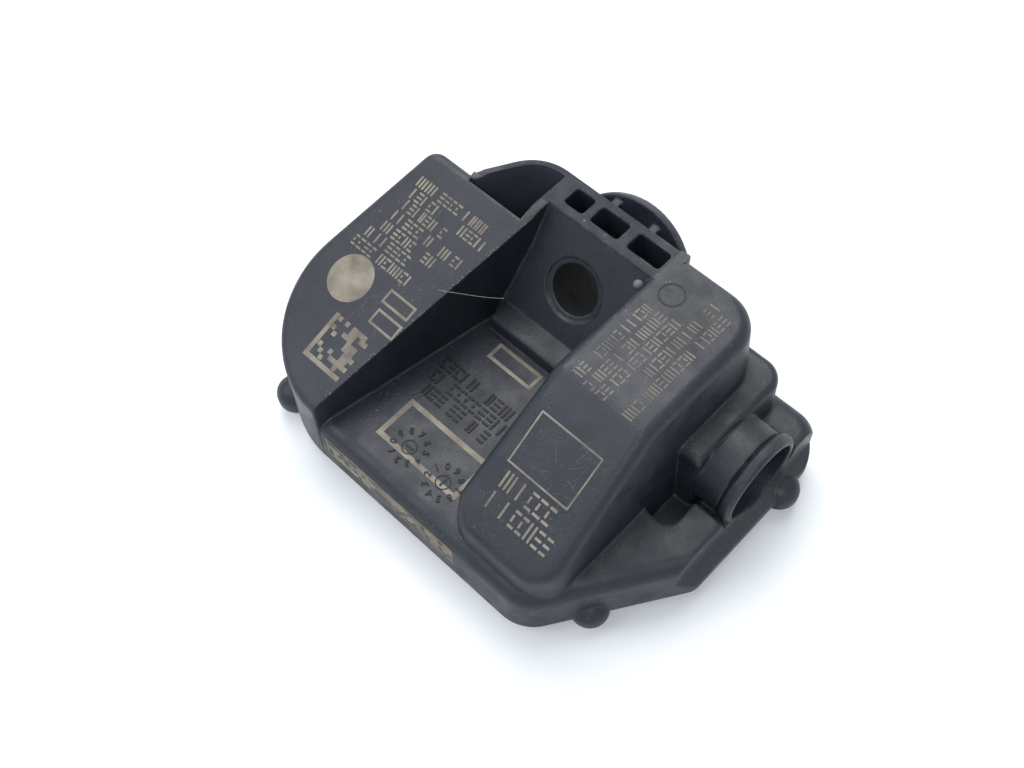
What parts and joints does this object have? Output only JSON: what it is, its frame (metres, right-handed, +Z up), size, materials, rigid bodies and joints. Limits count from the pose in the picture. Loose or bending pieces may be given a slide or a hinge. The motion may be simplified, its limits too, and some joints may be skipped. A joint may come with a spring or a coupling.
{
  "type": "tyre pressure sensor",
  "caption": "Black moulded tyre pressure sensor with a raised lobe, a screw valley between two sides, a tilted valve collar at the back, a side port and dome feet.",
  "frame": {"origin": "under the middle of the part's box, on the level of the feet", "axes": "+X towards the side port, +Y towards the valve collar, +Z up from the feet"},
  "size_m": [0.045, 0.0338, 0.0185],
  "materials": {
    "housing_plastic": "fine matt moulded black nylon",
    "cover_plastic": "matt moulded black nylon",
    "board_green": "solder mask over glass cloth",
    "cell_steel": "drawn stainless steel",
    "gasket_plastic": "translucent moulded seal",
    "cathode_black": "pressed powder",
    "separator_cloth": "thin felt",
    "anode_metal": "soft rolled metal",
    "tab_steel": "rolled strip",
    "package_black": "moulded package",
    "lid_steel": "stamped lid",
    "ferrite": "pressed ferrite",
    "copper_wire": "enamelled wire",
    "ceramic_pale": "fired ceramic",
    "ceramic_tan": "fired ceramic",
    "ceramic_black": "fired ceramic with a black coat",
    "antenna_wire": "plated wire",
    "membrane_grey": "porous film"
  },
  "bodies": {
    "root": {"housing": "housing_plastic", "bottom_cover": "cover_plastic", "circuit_board": "board_green", "cell_can": "cell_steel", "cell_cap": "cell_steel", "cell_gasket": "gasket_plastic", "cell_cathode": "cathode_black", "cell_separator": "separator_cloth", "cell_anode": "anode_metal", "tab_positive": "tab_steel", "tab_negative": "tab_steel", "sensor_body": "package_black", "sensor_lid": "lid_steel", "coil_core": "ferrite", "coil_winding": "copper_wire", "crystal_base": "ceramic_pale", "crystal_lid": "lid_steel", "capacitors": "ceramic_tan", "resistors": "ceramic_black", "antenna": "antenna_wire", "port_filter": "membrane_grey"}
  },
  "joints": []
}
